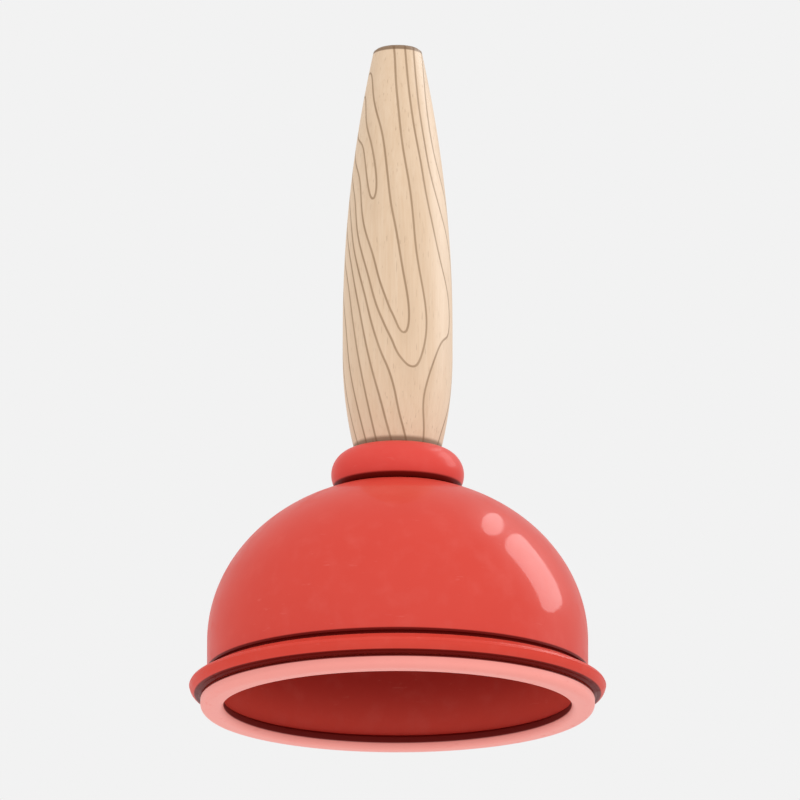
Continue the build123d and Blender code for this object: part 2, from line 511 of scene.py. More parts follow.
def arc(centre, radii, start, end):
    """Points of a circle's or ellipse's arc, from start to end in degrees."""
    turn = abs(end - start)
    steps = ceil(max(turn / ARC_STEP, max(radii) * radians(turn) / POINT_STEP))
    angles = [radians(start + (end - start) * n / steps) for n in range(steps + 1)]
    return [(centre[0] + radii[0] * cos(a), centre[1] + radii[1] * sin(a)) for a in angles]


def swell(belly_z, r, z):
    """Arc of the handle's side from its belly to the point (r, z), upright at the belly."""
    rise = z - belly_z
    radius = ((BELLY_R - r) ** 2 + rise**2) / (2 * (BELLY_R - r))
    turn = degrees(asin(rise / radius))
    return arc((BELLY_R - radius, belly_z), (radius, radius), 0, turn)


def rounded_corner(before, corner, after, rounding):
    """Points of one corner of an outline: a short curve if it is sharp, else the corner itself."""
    here = np.array(corner)
    back, ahead = np.array(before) - here, np.array(after) - here
    back_run, ahead_run = np.linalg.norm(back), np.linalg.norm(ahead)
    bend = acos(np.clip(-back @ ahead / (back_run * ahead_run), -1, 1))
    if bend < radians(CORNER_BEND):
        return [corner]
    cut = min(rounding, back_run * CORNER_SHARE, ahead_run * CORNER_SHARE)
    start, end = here + back / back_run * cut, here + ahead / ahead_run * cut
    shares = [part / CORNER_STEPS for part in range(CORNER_STEPS + 1)]
    return [tuple((1 - s) ** 2 * start + 2 * s * (1 - s) * here + s**2 * end) for s in shares]


def softened(points, rounding, closed=True, step=POINT_STEP):
    """The outline with each sharp corner rounded, and points at least every step along it."""
    if closed:
        neighbours = zip(points[-1:] + points[:-1], points, points[1:] + points[:1])
    else:
        neighbours = zip(points, points[1:], points[2:])
    soft = [p for trio in neighbours for p in rounded_corner(*trio, rounding)]
    soft = soft + soft[:1] if closed else points[:1] + soft + points[-1:]
    filled = soft[:1]
    for (r0, z0), (r1, z1) in zip(soft, soft[1:]):
        steps = ceil(hypot(r1 - r0, z1 - z0) / step)
        shares = [n / steps for n in range(1, steps + 1)]
        filled += [(r0 + (r1 - r0) * share, z0 + (z1 - z0) * share) for share in shares]
    return filled


def ribbed_side(grow):
    """Saw-toothed side of the tenon, or of its socket, from the bottom up."""
    r = TENON_R + grow
    points = [(r - TENON_LEAD, TENON_END_Z - grow), (r, TENON_END_Z + TENON_LEAD)]
    for n in range(RIBS):
        rib_z = TENON_END_Z + 2 * TENON_LEAD + n * RIB_PITCH
        points += [(r, rib_z), (r + RIB_H, rib_z + RIB_SLOPE), (r, rib_z + RIB_SLOPE + RIB_H / 2)]
    return points + [(r, SHOULDER_Z - SHOULDER_CONE)]


def cup_outline():
    """The cup's section: cavity, crown, dome, crease, rim, and the groove for the lip's rib."""
    pad_turn = degrees(acos(PAD_R / CUP_R))
    under_turn = degrees(acos(PAD_R / CAVITY_R))
    slope_fall = RIM_TOP_Z - RIM_MID_Z - RIM_TURN
    slope_turn = -degrees(asin(slope_fall / hypot(RIM_OVERHANG - RIM_TURN, slope_fall)))
    lower_turn_r = RIM_R - LIP_OUTER_R - RIM_CHAMFER
    upper_end, lower_start = FLASH_TURNS
    groove_out, groove_in = KEY_OUTER_R + KEY_CLEARANCE, KEY_INNER_R - KEY_CLEARANCE
    groove_top = KEY_TOP_Z + KEY_CLEARANCE
    points = [(CAVITY_R, RIM_FOOT_Z)]
    points += arc((0, DOME_Z), (CAVITY_R, CAVITY_RISE), 0, under_turn)
    points += [(CROWN_HOLE_R, CROWN_UNDER_Z), (CROWN_HOLE_R, CROWN_TOP_Z)]
    points += arc((0, DOME_Z), (CUP_R, DOME_RISE), pad_turn, 0)
    points += arc((CUP_R, RIM_TOP_Z), (CREASE_R, CREASE_R), 90, 360 + slope_turn)
    upper_centre = (RIM_R - RIM_TURN, RIM_MID_Z)
    points += arc(upper_centre, (RIM_TURN - FLASH_H, RIM_TURN), 90, upper_end)
    points += [(RIM_R, RIM_MID_Z + FLASH_H), (RIM_R, RIM_MID_Z - FLASH_H)]
    lower_centre = (LIP_OUTER_R + RIM_CHAMFER, RIM_MID_Z)
    points += arc(lower_centre, (lower_turn_r - FLASH_H, lower_turn_r), lower_start, -90)
    points += [(LIP_OUTER_R, RIM_FOOT_Z), (groove_out, RIM_FOOT_Z)]
    points += [(groove_out, groove_top), (groove_in, groove_top), (groove_in, RIM_FOOT_Z)]
    return softened(points, CUP_EDGE)


def lip_outline():
    """The lip's section, with its rib on top."""
    low = arc((LIP_OUTER_R - LIP_ROUND, LIP_ROUND), (LIP_ROUND, LIP_ROUND), -90, 0)
    inner = arc((LIP_INNER_R + LIP_ROUND, LIP_ROUND), (LIP_ROUND, LIP_ROUND), 180, 270)
    chamfer_z = RIM_FOOT_Z - LIP_CHAMFER
    points = low + [(LIP_OUTER_R, chamfer_z), (LIP_OUTER_R - LIP_CHAMFER, RIM_FOOT_Z)]
    points += [(KEY_OUTER_R, RIM_FOOT_Z), (KEY_OUTER_R, KEY_TOP_Z)]
    points += [(KEY_INNER_R, KEY_TOP_Z), (KEY_INNER_R, RIM_FOOT_Z)]
    points += [(LIP_INNER_R + LIP_CHAMFER, RIM_FOOT_Z), (LIP_INNER_R, chamfer_z)]
    return softened(points + inner, LIP_EDGE)


def bead_outline():
    """The collar above its waist: the bead, the mouth, and the upper part of the socket."""
    start = -degrees(asin((BEAD_Z - BEAD_FOOT_Z) / BEAD_ROUND_R))
    end = degrees(acos((MOUTH_GAP + MOUTH_FLARE) / BEAD_ROUND_R))
    socket = [p for p in ribbed_side(SOCKET_CLEARANCE) if p[1] > WAIST_SPLIT_Z]
    points = [(WAIST_R, WAIST_SPLIT_Z), (WAIST_R, BEAD_FOOT_Z)]
    points += arc((SHOULDER_R, BEAD_Z), (BEAD_ROUND_R, BEAD_ROUND_R), start, end)
    points += [(MOUTH_R, SHOULDER_Z)] + socket[::-1]
    return softened(points + [(TENON_R + SOCKET_CLEARANCE, WAIST_SPLIT_Z)], COLLAR_EDGE)


def foot_outline():
    """The collar below its waist: the flange, the foot, and the bottom of the socket."""
    socket = [p for p in ribbed_side(SOCKET_CLEARANCE) if p[1] < WAIST_SPLIT_Z]
    points = [(TENON_R + SOCKET_CLEARANCE, WAIST_SPLIT_Z)] + socket[::-1]
    points += [(SHANK_BORE_R, WEB_TOP_Z), (SHANK_BORE_R, FOOT_Z)]
    points += arc((FOOT_R - FOOT_ROUND, FOOT_Z + FOOT_ROUND), (FOOT_ROUND, FOOT_ROUND), -90, 0)
    points += [(FLANGE_R, FLANGE_TOP_Z - FLANGE_H), (FLANGE_R, FLANGE_TOP_Z)]
    points += [(WAIST_R, FLANGE_TOP_Z), (WAIST_R, WAIST_SPLIT_Z)]
    return softened(points, COLLAR_EDGE)


def handle_side():
    """The handle's side above its shoulder, from the bottom up."""
    lower = swell(BELLY_LOW_Z, SHOULDER_R, SHOULDER_Z)[::-1]
    return lower + swell(BELLY_HIGH_Z, HANDLE_END_R, HANDLE_END_Z)


def handle_outline():
    """The handle's half section, from the top of its bore out, up its side and in at its end."""
    bore = [(0.0, PILOT_TOP_Z), (PILOT_R, PILOT_TOP_Z), (PILOT_R, SHANK_BORE_TOP_Z)]
    bore += [(SHANK_BORE_R, SHANK_BORE_TOP_Z), (SHANK_BORE_R, TENON_END_Z)]
    chamfer_z = HANDLE_END_Z - END_CHAMFER
    side = [p for p in handle_side() if p[1] < chamfer_z]
    end = [(HANDLE_END_R + END_SPREAD, chamfer_z)]
    end += [(HANDLE_END_R - END_CHAMFER, HANDLE_END_Z), (0.0, HANDLE_END_Z)]
    points = bore + ribbed_side(0.0) + side + end
    return softened(points, HANDLE_EDGE, closed=False, step=GRAIN_STEP)


def washer_outline():
    """The washer's section, between the screw's head and the collar's foot."""
    points = [(SHANK_BORE_R, HEAD_TOP_Z), (WASHER_R, HEAD_TOP_Z)]
    points += [(WASHER_R, FOOT_Z), (SHANK_BORE_R, FOOT_Z)]
    return softened(points, WASHER_EDGE)


def screw_outline():
    """The screw without its thread and recess, from the middle of its head to its tip."""
    head_centre = (HEAD_R - HEAD_ROUND, HEAD_FOOT_Z + HEAD_ROUND)
    neck = (SHANK_R, THREAD_Z - SHANK_R + CORE_R)
    head = [(0.0, HEAD_FOOT_Z)] + arc(head_centre, (HEAD_ROUND, HEAD_ROUND), -90, 0)
    head += [(HEAD_R, HEAD_TOP_Z), (SHANK_R, HEAD_TOP_Z), neck]
    core = [neck, (CORE_R, THREAD_Z), (CORE_R, POINT_Z), (0.0, SCREW_TIP_Z)]
    fine = softened(core, SCREW_EDGE, closed=False, step=THREAD_STEP)
    return softened(head, SCREW_EDGE, closed=False, step=HEAD_STEP) + fine[1:]


# --- Wood grain ---------------------------------------------------------------------------

# Growth rings where they meet the front of the handle: each ring's level, and places on its
# line as millimetres across from the axis and millimetres up.
FRONT_RINGS = [
    (6.0, [(-10, 200), (-8.7, 191), (-6.8, 178), (-7.5, 175), (-10.7, 183)]),
    (5.0, [(-8.2, 212), (-7, 204), (-4, 186), (-1, 165.5), (2, 146), (3.3, 131), (2.4, 122.4)]),
    (5.0, [(0, 126), (-2.9, 134), (-6.4, 145), (-10.7, 162), (-12.4, 181)]),
    (4.0, [(-1, 226), (0.2, 208), (3, 184), (6.5, 153), (9, 138), (9.6, 125), (7, 115)]),
    (4.0, [(4.8, 115.8), (1.9, 119.6), (-1.5, 125), (-4.8, 131), (-9.7, 146), (-13.8, 165)]),
    (3.0, [(2.7, 226), (4.7, 206), (8, 187), (11.5, 167), (14.3, 153.5)]),
    (3.0, [(-15, 158), (-10.7, 139), (-5.6, 119), (0, 100), (3, 90.7)]),
    (3.0, [(17.5, 134), (15.2, 125.4), (10.6, 113), (8.4, 104.5), (8.6, 91)]),
    (2.0, [(5.5, 226), (7.2, 207), (10.2, 187), (13.3, 175)]),
    (2.0, [(-15.6, 153), (-11.5, 127), (-5.6, 103), (-2, 90)]),
    (1.0, [(-15.4, 134.5), (-13, 118), (-7.3, 90.6)]),
    (0.0, [(-16, 115), (-10.7, 91)]),
    (5.4, [(-2, 150), (-5, 170)]),
    (5.3, [(-9, 208)]),
    (4.5, [(-4.5, 225), (-6.5, 219)]),
    (3.5, [(5, 103), (6, 92)]),
    (2.3, [(13, 100)]),
    (6.3, [(-10, 190)]),
]
# The same round the sides and the back: degrees round from the front, then each place's height
# in millimetres and its level.
ROUND_RINGS = [
    (90, [(225, 0.6), (138, 1.9), (100, 1.5)]),
    (180, [(225, 0.0), (190, -2.0), (150, -4.2), (110, -4.5), (90, -4.5)]),
    (270, [(218, 5.0), (211, 6.0), (207, 6.3), (201, 6.0), (197, 5.0), (191, 4.0), (181, 3.0)]),
    (270, [(171, 2.0), (160, 1.0), (147, 0.0), (100, -2.0)]),
    (290, [(201, 6.35)]),
]
GRAIN_STRETCH = 0.3  # rings run along the handle, so heights count for less than widths
GRAIN_REACH = 20.0
GRAIN_EASE = 0.002  # how far a ring may leave its places to run smoothly
GRAIN_PROBE = 0.2
FLATTEST_SLOPE = 0.03


def ring_places():
    """Every known place of the growth rings, as rows of x, y, z and level."""
    side = np.array(handle_side())
    rows = []
    for level, places in FRONT_RINGS:
        for across, z in places:
            r = np.interp(z, side[:, 1], side[:, 0])
            rows.append((across, -sqrt(max(r * r - across * across, 0)), z, level))
    for turn, places in ROUND_RINGS:
        for z, level in places:
            r = np.interp(z, side[:, 1], side[:, 0])
            rows.append((r * sin(radians(turn)), -r * cos(radians(turn)), z, level))
    return np.array(rows)


def ring_field():
    """A smooth function of place whose whole numbers are the growth rings."""
    rows = ring_places()
    squeeze = np.array([1, 1, GRAIN_STRETCH])
    known, levels = rows[:, :3] * squeeze, rows[:, 3]

    def pull(a, b):
        return (np.linalg.norm(a[:, None] - b[None], axis=2) / GRAIN_REACH) ** 3

    def plane(a):
        return np.c_[np.ones(len(a)), a]

    flat = plane(known)
    count, terms = flat.shape
    system = np.zeros((count + terms, count + terms))
    system[:count, :count] = pull(known, known) + GRAIN_EASE * np.eye(count)
    system[:count, count:] = flat
    system[count:, :count] = flat.T
    weights = np.linalg.solve(system, np.r_[levels, np.zeros(terms)])

    def field(places):
        squeezed = places * squeeze
        return pull(squeezed, known) @ weights[:count] + plane(squeezed) @ weights[count:]

    return field


def store(mesh, name, values):
    """Keeps one number for each point of a mesh."""
    attribute = mesh.attributes.new(name, "FLOAT", "POINT")
    attribute.data.foreach_set("value", np.asarray(values, np.float32))


def mark_grain(mesh):
    """Stores each point's ring level, and how fast it changes over the surface."""
    field = ring_field()
    count = len(mesh.vertices)
    places, normals = np.zeros(count * 3), np.zeros(count * 3)
    mesh.vertices.foreach_get("co", places)
    mesh.vertices.foreach_get("normal", normals)
    places, normals = places.reshape(-1, 3) / MM, normals.reshape(-1, 3)
    level = field(places)
    probes = GRAIN_PROBE * np.eye(3)
    slope = np.stack([(field(places + step) - level) / GRAIN_PROBE for step in probes], axis=1)
    slope -= (slope * normals).sum(1)[:, None] * normals
    store(mesh, "ring", level)
    store(mesh, "ring_slope", np.maximum(np.linalg.norm(slope, axis=1), FLATTEST_SLOPE))


# --- Finishes -----------------------------------------------------------------------------

# Each finish has its colours, its marks, and how strongly each mark shows. A mark's size is in
# millimetres, and a band says where something begins to show and where it shows fully.


def finish(name):
    """A new material and its empty graph."""
    material = bpy.data.materials.new(name)
    material.use_nodes = True
    return material, Graph(material.node_tree)


def close_finish(graph, values):
    """Ends a material in one Principled shader."""
    shader = graph.node("ShaderNodeBsdfPrincipled", {}, values)
    graph.node("ShaderNodeOutputMaterial", {}, {"Surface": shader})


def measured(graph, place):
    """A place's radius and height in millimetres."""
    return graph.length(graph.scaled(place, FLAT)), graph.parts(place)[2]


def turned_place(graph):
    """A turned piece's own resting place, in millimetres: all of it, its radius and its height."""
    settings = {"attribute_name": "place", "attribute_type": "GEOMETRY"}
    place = graph.node("ShaderNodeAttribute", settings, output="Vector")
    return place, *measured(graph, place)


CREASE_BAND = (0.80, 1.20)


def crease_shade_and_grime(radius, height, creases):
    """The mask of the painted shade and grime in the creases: 1 in the creases, which are circles
    of (radius, height, half-width), and 0 away from them.
    """
    begins, ends = CREASE_BAND
    mask = None
    for at_r, at_z, reach in creases:
        away_r, away_z = radius - at_r, height - at_z
        away = (away_r * away_r + away_z * away_z).root()
        near = away.falling(reach * begins, reach * ends)
        mask = near if mask is None else mask.at_least(near)
    return mask


RUB_DETAIL = 4.0
RUB_STRETCH = (4.0, 4.0, 1.0)
RUB_SOFTNESS = 0.12
RUB_PATCH = 8  # how much larger the patches with rubs are than one rub
RUB_PATCH_BAND = (0.48, 0.62)


def scuffs(graph, place, size, threshold):
    """Sparse short rubs across the surface, 1 where it is rubbed."""
    rub = graph.noise(place, size, RUB_DETAIL, RUB_STRETCH)
    patch = graph.noise(place, size * RUB_PATCH)
    return rub.rising(threshold, threshold + RUB_SOFTNESS) * patch.rising(*RUB_PATCH_BAND)


CUP_REDS = [(0.690, 0.056, 0.036, 1.0), (0.725, 0.066, 0.044, 1.0)]
# The collar's red is painted lighter than the cup's, as painted light that makes up for the dimmer
# light and weaker sheen on the collar.
COLLAR_REDS_PAINTED_LIGHTER = [(0.755, 0.074, 0.058, 1.0), (0.785, 0.084, 0.066, 1.0)]
# Painted shade inside the cup: from a light red at the mouth to a dark red deep inside, over this
# band of heights.
CAVITY_SHADE_REDS = [(0.76, 0.086, 0.060, 1.0), (0.42, 0.034, 0.025, 1.0)]
CAVITY_SHADE_BAND = (2.0, 28.0)
# Painted shade and grime in the creases of the rubber.
RED_CREASE_SHADE_AND_GRIME = (0.150, 0.006, 0.004, 1.0)
PINKS = [(0.975, 0.345, 0.30, 1.0), (0.985, 0.375, 0.325, 1.0)]
INSIDE_BAND = (0.995, 1.005)
RED_MOTTLE = {"size": 16.0, "detail": 3.0}
RED_GRIT = {"size": 0.4, "detail": 3.0}
RED_SWIRL = {"size": 3.0, "detail": 2.0, "stretch": (3.0, 3.0, 1.0)}
RED_BLOOM = {"size": 7.0, "detail": 5.0}
RED_BLOOM_BAND = (0.45, 0.80)
RED_RUBS = {"size": 1.3, "threshold": 0.62}
RED_PALE = {"rubbed": 0.10, "bloom": 0.05}
RED_ROUGH = {"clean": 0.34, "bloom": 0.16, "rubbed": 0.20, "inside": 0.12}
RED_RELIEF = {"grit": 0.6, "swirl": 0.4, "rubbed": 0.4}
RED_RELIEF_DEPTH = 0.018
RED_SPECULAR = 0.05
GLOSS_ROUGHNESS = 0.07
RIM_DULL = 0.7  # how much less the rim shines than the dome
RIM_DULL_H = 2.0
EDGE_DULL = 0.9  # how much less the rubber shines where it is seen edge-on
EDGE_BLEND = 0.5
CUP_GLOSS = 0.45
COLLAR_GLOSS = 0.10


def red_rubber(name, colours, creases, gloss):
    """Moulded red rubber, with painted shade and grime in its creases and painted shade inside the
    cup, glossy above the rim.
    """
    material, graph = finish(name)
    place, radius, height = turned_place(graph)
    crease = crease_shade_and_grime(radius, height, creases)
    mottle = graph.noise(place, **RED_MOTTLE)
    grit = graph.noise(place, **RED_GRIT)
    swirl = graph.noise(place, **RED_SWIRL)
    bloom = graph.noise(place, **RED_BLOOM).rising(*RED_BLOOM_BAND)
    rubbed = scuffs(graph, place, **RED_RUBS)
    above = (height - DOME_Z).at_least(0.0) / ((DOME_RISE + CAVITY_RISE) / 2)
    across = radius / (CUP_R - WALL / 2)
    inside = (across * across + above * above).falling(*INSIDE_BAND)
    outer = graph.mix(mottle, *colours)
    # Painted shade inside the cup, darker the higher it is.
    inner = graph.mix(height.rising(*CAVITY_SHADE_BAND), *CAVITY_SHADE_REDS)
    pale = (rubbed * RED_PALE["rubbed"]).at_least(bloom * RED_PALE["bloom"])
    worn = graph.mix(pale, graph.mix(inside, outer, inner), PINKS[0])
    stained = bloom * RED_ROUGH["bloom"] + rubbed * RED_ROUGH["rubbed"]
    roughness = RED_ROUGH["clean"] + stained + inside * RED_ROUGH["inside"]
    low = height.falling(RIM_TOP_Z, RIM_TOP_Z + RIM_DULL_H)
    edge_on = graph.node("ShaderNodeLayerWeight", {}, {"Blend": EDGE_BLEND}, output="Facing")
    seen = (1 - low * RIM_DULL) * (1 - edge_on * EDGE_DULL)
    shine = (1 - crease) * (1 - inside) * seen
    grain = grit * RED_RELIEF["grit"] + swirl * RED_RELIEF["swirl"]
    relief = grain - rubbed * RED_RELIEF["rubbed"]
    shader = {
        "Base Color": graph.mix(crease, worn, RED_CREASE_SHADE_AND_GRIME),
        "Roughness": roughness,
        "Coat Weight": shine * gloss,
        "Coat Roughness": GLOSS_ROUGHNESS,
        "Normal": graph.bump(relief, RED_RELIEF_DEPTH),
        "Specular IOR Level": RED_SPECULAR,
    }
    close_finish(graph, shader)
    return material


PINK_MOTTLE = {"size": 9.0, "detail": 3.0}
PINK_GRIT = {"size": 0.5, "detail": 3.0}
PINK_RUBS = {"size": 0.9, "threshold": 0.60}
PINK_STAIN = 0.12
PINK_ROUGH = {"clean": 0.42, "mottle": 0.08, "rubbed": 0.2, "shade": 0.1}
PINK_RUB_DEPTH = 0.5
PINK_RELIEF_DEPTH = 0.04
PINK_SPECULAR = 0.2
# Painted shade and grime in the crease where the lip meets the cup, and painted shade on the lip's
# inner wall within these bands.
LIP_CREASES = [(LIP_OUTER_R, RIM_FOOT_Z, 1.0)]
INNER_WALL_BAND = (LIP_INNER_R + 1.2, LIP_INNER_R + 1.6)
INNER_WALL_FOOT_BAND = (1.7, 2.3)


def pink_rubber():
    """Softer, paler rubber of the lip, with painted shade where it meets the cup and on its inner
    wall.
    """
    material, graph = finish("lip_rubber_finish")
    place, radius, height = turned_place(graph)
    inner_wall = radius.falling(*INNER_WALL_BAND) * height.rising(*INNER_WALL_FOOT_BAND)
    shade = crease_shade_and_grime(radius, height, LIP_CREASES).at_least(inner_wall)
    mottle = graph.noise(place, **PINK_MOTTLE)
    grit = graph.noise(place, **PINK_GRIT)
    rubbed = scuffs(graph, place, **PINK_RUBS)
    worn = graph.mix(rubbed * PINK_STAIN, graph.mix(mottle, *PINKS), CUP_REDS[0])
    marked = mottle * PINK_ROUGH["mottle"] + rubbed * PINK_ROUGH["rubbed"]
    shader = {
        "Base Color": graph.mix(shade, worn, RED_CREASE_SHADE_AND_GRIME),
        "Roughness": PINK_ROUGH["clean"] + marked + shade * PINK_ROUGH["shade"],
        "Normal": graph.bump(grit - rubbed * PINK_RUB_DEPTH, PINK_RELIEF_DEPTH),
        "Specular IOR Level": PINK_SPECULAR,
    }
    close_finish(graph, shader)
    return material


WOODS = [(0.735, 0.520, 0.340, 1.0), (0.835, 0.640, 0.462, 1.0)]
WOOD_RING = (0.38, 0.245, 0.145, 1.0)
WOOD_STAIN_AND_SHADE = (0.20, 0.11, 0.055, 1.0)
RING_BAND = (0.18, 0.56)
RING_WANDER = {"size": 5.0, "detail": 3.0, "stretch": (1.0, 1.0, 6.0)}
RING_DEPTHS = (0.66, 0.5)
LATE_WOOD_BAND = (0.35, 1.0)
FIBRE = {"size": 0.6, "detail": 5.0, "stretch": (1.0, 1.0, 30.0)}
BANDING = {"size": 2.6, "detail": 2.0, "stretch": (1.0, 1.0, 40.0)}
FIBRE_BAND = (0.25, 0.75)
PORES = {"size": 0.45, "detail": 1.0, "stretch": (1.0, 1.0, 12.0)}
PORE_BAND = (0.66, 0.74)
CLOUDS = {"size": 22.0, "detail": 2.0, "stretch": (1.0, 1.0, 3.0)}
WOOD_TONE = {"cloud": 0.3, "fibre": 0.4, "banding": 0.3}
WOOD_DARK = {"late": 0.11, "pore": 0.34}
END_BAND = (HANDLE_END_Z - END_CHAMFER - 1.2, HANDLE_END_Z - END_CHAMFER - 0.7)
END_FACE_BAND = (HANDLE_END_R - END_CHAMFER - 0.6, HANDLE_END_R - END_CHAMFER)
# Painted shade at the handle's foot, where it goes into the collar's mouth.
FOOT_SHADE_BAND = (SHOULDER_Z + 3.0, SHOULDER_Z + 4.4)
STAIN_AND_SHADE = {"end": 0.85, "end_face": 0.55, "foot": 0.8}
WOOD_ROUGH = {"clean": 0.46, "fibre": 0.12, "line": 0.12, "pore": 0.1}
WOOD_RELIEF = {"fibre": 0.45, "line": 0.6, "pore": 0.6}
WOOD_RELIEF_DEPTH = 0.05
WOOD_SPECULAR = 0.35


def oiled_wood():
    """Pale wood with dark growth rings, fine fibres and pores, stained at its top end, and darkened
    with painted shade at its foot where it meets the collar.
    """
    material, graph = finish("handle_wood_finish")
    place, radius, height = turned_place(graph)
    ring = graph.node("ShaderNodeAttribute", {"attribute_name": "ring"}, output="Fac")
    slope = graph.node("ShaderNodeAttribute", {"attribute_name": "ring_slope"}, output="Fac")
    faintest, varying = RING_DEPTHS
    away = ring.off_whole() / slope
    line = away.falling(*RING_BAND) * (faintest + graph.noise(place, **RING_WANDER) * varying)
    late = ring.fraction().rising(*LATE_WOOD_BAND)
    fibre = graph.noise(place, **FIBRE).rising(*FIBRE_BAND)
    banding = graph.noise(place, **BANDING).rising(*FIBRE_BAND)
    pore = graph.noise(place, **PORES).rising(*PORE_BAND)
    cloud = graph.noise(place, **CLOUDS)
    end = height.rising(*END_BAND)
    end_face = end * radius.falling(*END_FACE_BAND)
    # Painted shade at the foot, where the handle meets the collar.
    foot = height.falling(*FOOT_SHADE_BAND)
    streaks = fibre * WOOD_TONE["fibre"] + banding * WOOD_TONE["banding"]
    body = graph.mix(cloud * WOOD_TONE["cloud"] + streaks, *WOODS)
    dark = line.at_least(late * WOOD_DARK["late"]).at_least(pore * WOOD_DARK["pore"])
    ringed = graph.mix(dark, body, WOOD_RING)
    end_stain = end * STAIN_AND_SHADE["end"] - end_face * STAIN_AND_SHADE["end_face"]
    stained = graph.mix(end_stain.at_least(foot * STAIN_AND_SHADE["foot"]), ringed, WOOD_STAIN_AND_SHADE)
    marked = fibre * WOOD_ROUGH["fibre"] + line * WOOD_ROUGH["line"]
    relief = fibre * WOOD_RELIEF["fibre"] - line * WOOD_RELIEF["line"] - pore * WOOD_RELIEF["pore"]
    shader = {
        "Base Color": stained,
        "Roughness": WOOD_ROUGH["clean"] + marked + pore * WOOD_ROUGH["pore"],
        "Normal": graph.bump(relief, WOOD_RELIEF_DEPTH),
        "Specular IOR Level": WOOD_SPECULAR,
    }
    close_finish(graph, shader)
    return material


ZINCS = [(0.66, 0.67, 0.68, 1.0), (0.47, 0.48, 0.49, 1.0)]
LATHE = {"size": 0.22, "detail": 3.0}
LATHE_BAND = (0.45, 0.70)
ZINC_BLOOM = {"size": 1.6, "detail": 5.0}
ZINC_BLOOM_BAND = (0.35, 0.80)
NICKS = {"size": 0.8, "detail": 2.0}
NICK_BAND = (0.68, 0.74)
ZINC_DULL = {"bloom": 0.6, "lathe": 0.4, "nick": 0.6}
ZINC_METAL = (1.0, 0.12)
ZINC_ROUGH = {"clean": 0.26, "dull": 0.24, "lathe": 0.08}
ZINC_RELIEF = {"lathe": 0.8, "nick": 0.4}
ZINC_RELIEF_DEPTH = 0.03


def zinc_plate():
    """Zinc-plated steel with lathe marks round the axis and a dull bloom."""
    material, graph = finish("zinc_steel_finish")
    place = graph.scaled(graph.node("ShaderNodeTexCoord", output="Object"), TO_MM)
    radius, height = measured(graph, place)
    lathe = graph.noise(graph.joined(radius, height, 0.0), **LATHE)
    bloom = graph.noise(place, **ZINC_BLOOM)
    nick = graph.noise(place, **NICKS).rising(*NICK_BAND)
    clouded = bloom.rising(*ZINC_BLOOM_BAND) * ZINC_DULL["bloom"]
    dull = clouded + lathe.rising(*LATHE_BAND) * ZINC_DULL["lathe"]
    metal, lost = ZINC_METAL
    relief = lathe * ZINC_RELIEF["lathe"] - nick * ZINC_RELIEF["nick"]
    shader = {
        "Base Color": graph.mix(dull.at_least(nick * ZINC_DULL["nick"]), *ZINCS),
        "Metallic": metal - dull * lost,
        "Roughness": ZINC_ROUGH["clean"] + dull * ZINC_ROUGH["dull"] + lathe * ZINC_ROUGH["lathe"],
        "Normal": graph.bump(relief, ZINC_RELIEF_DEPTH),
    }
    close_finish(graph, shader)
    return material


# --- Pieces -------------------------------------------------------------------------------

# Creases darkened with painted shade and grime, as circles of (radius, height, half-width): under
# the dome, over the lip and round the crown, and then under the collar's bead and in its mouth.
CUP_CREASES = [
    (CUP_R, RIM_TOP_Z + 0.4, 1.35),
    (LIP_OUTER_R + RIM_CHAMFER, RIM_FOOT_Z + 0.9, 1.4),
    (PAD_R - 0.4, CROWN_TOP_Z, 1.5),
]
COLLAR_CREASES = [
    (BEAD_R - 2.0, BEAD_FOOT_Z, 2.2),
    (MOUTH_R + 0.2, SHOULDER_Z + 0.8, 1.2),
]


def along_axis(z):
    """The point of the axis at a height in millimetres, in metres."""
    return 0.0, 0.0, z * MM


def make_cup():
    """The cup, turned from its outline in place of the CAD cup."""
    rubber = red_rubber("cup_rubber_finish", CUP_REDS, CUP_CREASES, CUP_GLOSS)
    piece = turned("cup_moulding", cup_outline(), rubber, CUP_SEGMENTS)
    along_axis(RIM_TOP_Z)
    along_axis(FLANGE_TOP_Z)
    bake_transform(piece)
    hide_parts("cup_dome")


def make_lip():
    """The soft lip under the rim."""
    piece = turned("soft_lip", lip_outline(), pink_rubber(), CUP_SEGMENTS)
    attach(piece, "cup_body")
    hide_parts("sealing_lip")


def make_collar():
    """The neck collar in two pieces, above and below the crown."""
    rubber = red_rubber("collar_rubber_finish", COLLAR_REDS_PAINTED_LIGHTER, COLLAR_CREASES, COLLAR_GLOSS)
    bead = turned("collar_bead", bead_outline(), rubber, CUP_SEGMENTS)
    along_axis(BEAD_FOOT_Z)
    along_axis(collar_high.z)
    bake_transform(bead)
    foot = turned("collar_foot", foot_outline(), rubber, CUP_SEGMENTS)
    flange_z = FLANGE_TOP_Z - FLANGE_H
    along_axis(flange_z)
    along_axis(FOOT_Z)
    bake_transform(foot)
    for piece in (bead, foot):
        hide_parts("neck_collar")


def make_handle():
    """The turned handle, with the grain on its points."""
    piece = turned("turned_handle", handle_outline(), oiled_wood(), HANDLE_SEGMENTS)
    mark_grain(piece.data)
    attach(piece, "handle_body")
    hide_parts("handle")


def make_fixings():
    """The washer and the screw that hold the tenon in the collar."""
    plate = zinc_plate()
    washer = turned("steel_washer", washer_outline(), plate, WASHER_SEGMENTS)
    turning = {"Segments": SCREW_SEGMENTS, "Finish": plate}
    sizes = {**turning, **THREAD_SIZES, **RECESS_SIZES}
    screw = built("wood_screw", SCREW, screw_outline(), sizes)
    for piece, node in ((washer, "backing_washer"), (screw, "fixing_screw")):
        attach(piece, "handle_body")
        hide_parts(node)


make_cup()
make_lip()
make_collar()
make_handle()
make_fixings()

# --- Studio -------------------------------------------------------------------------------

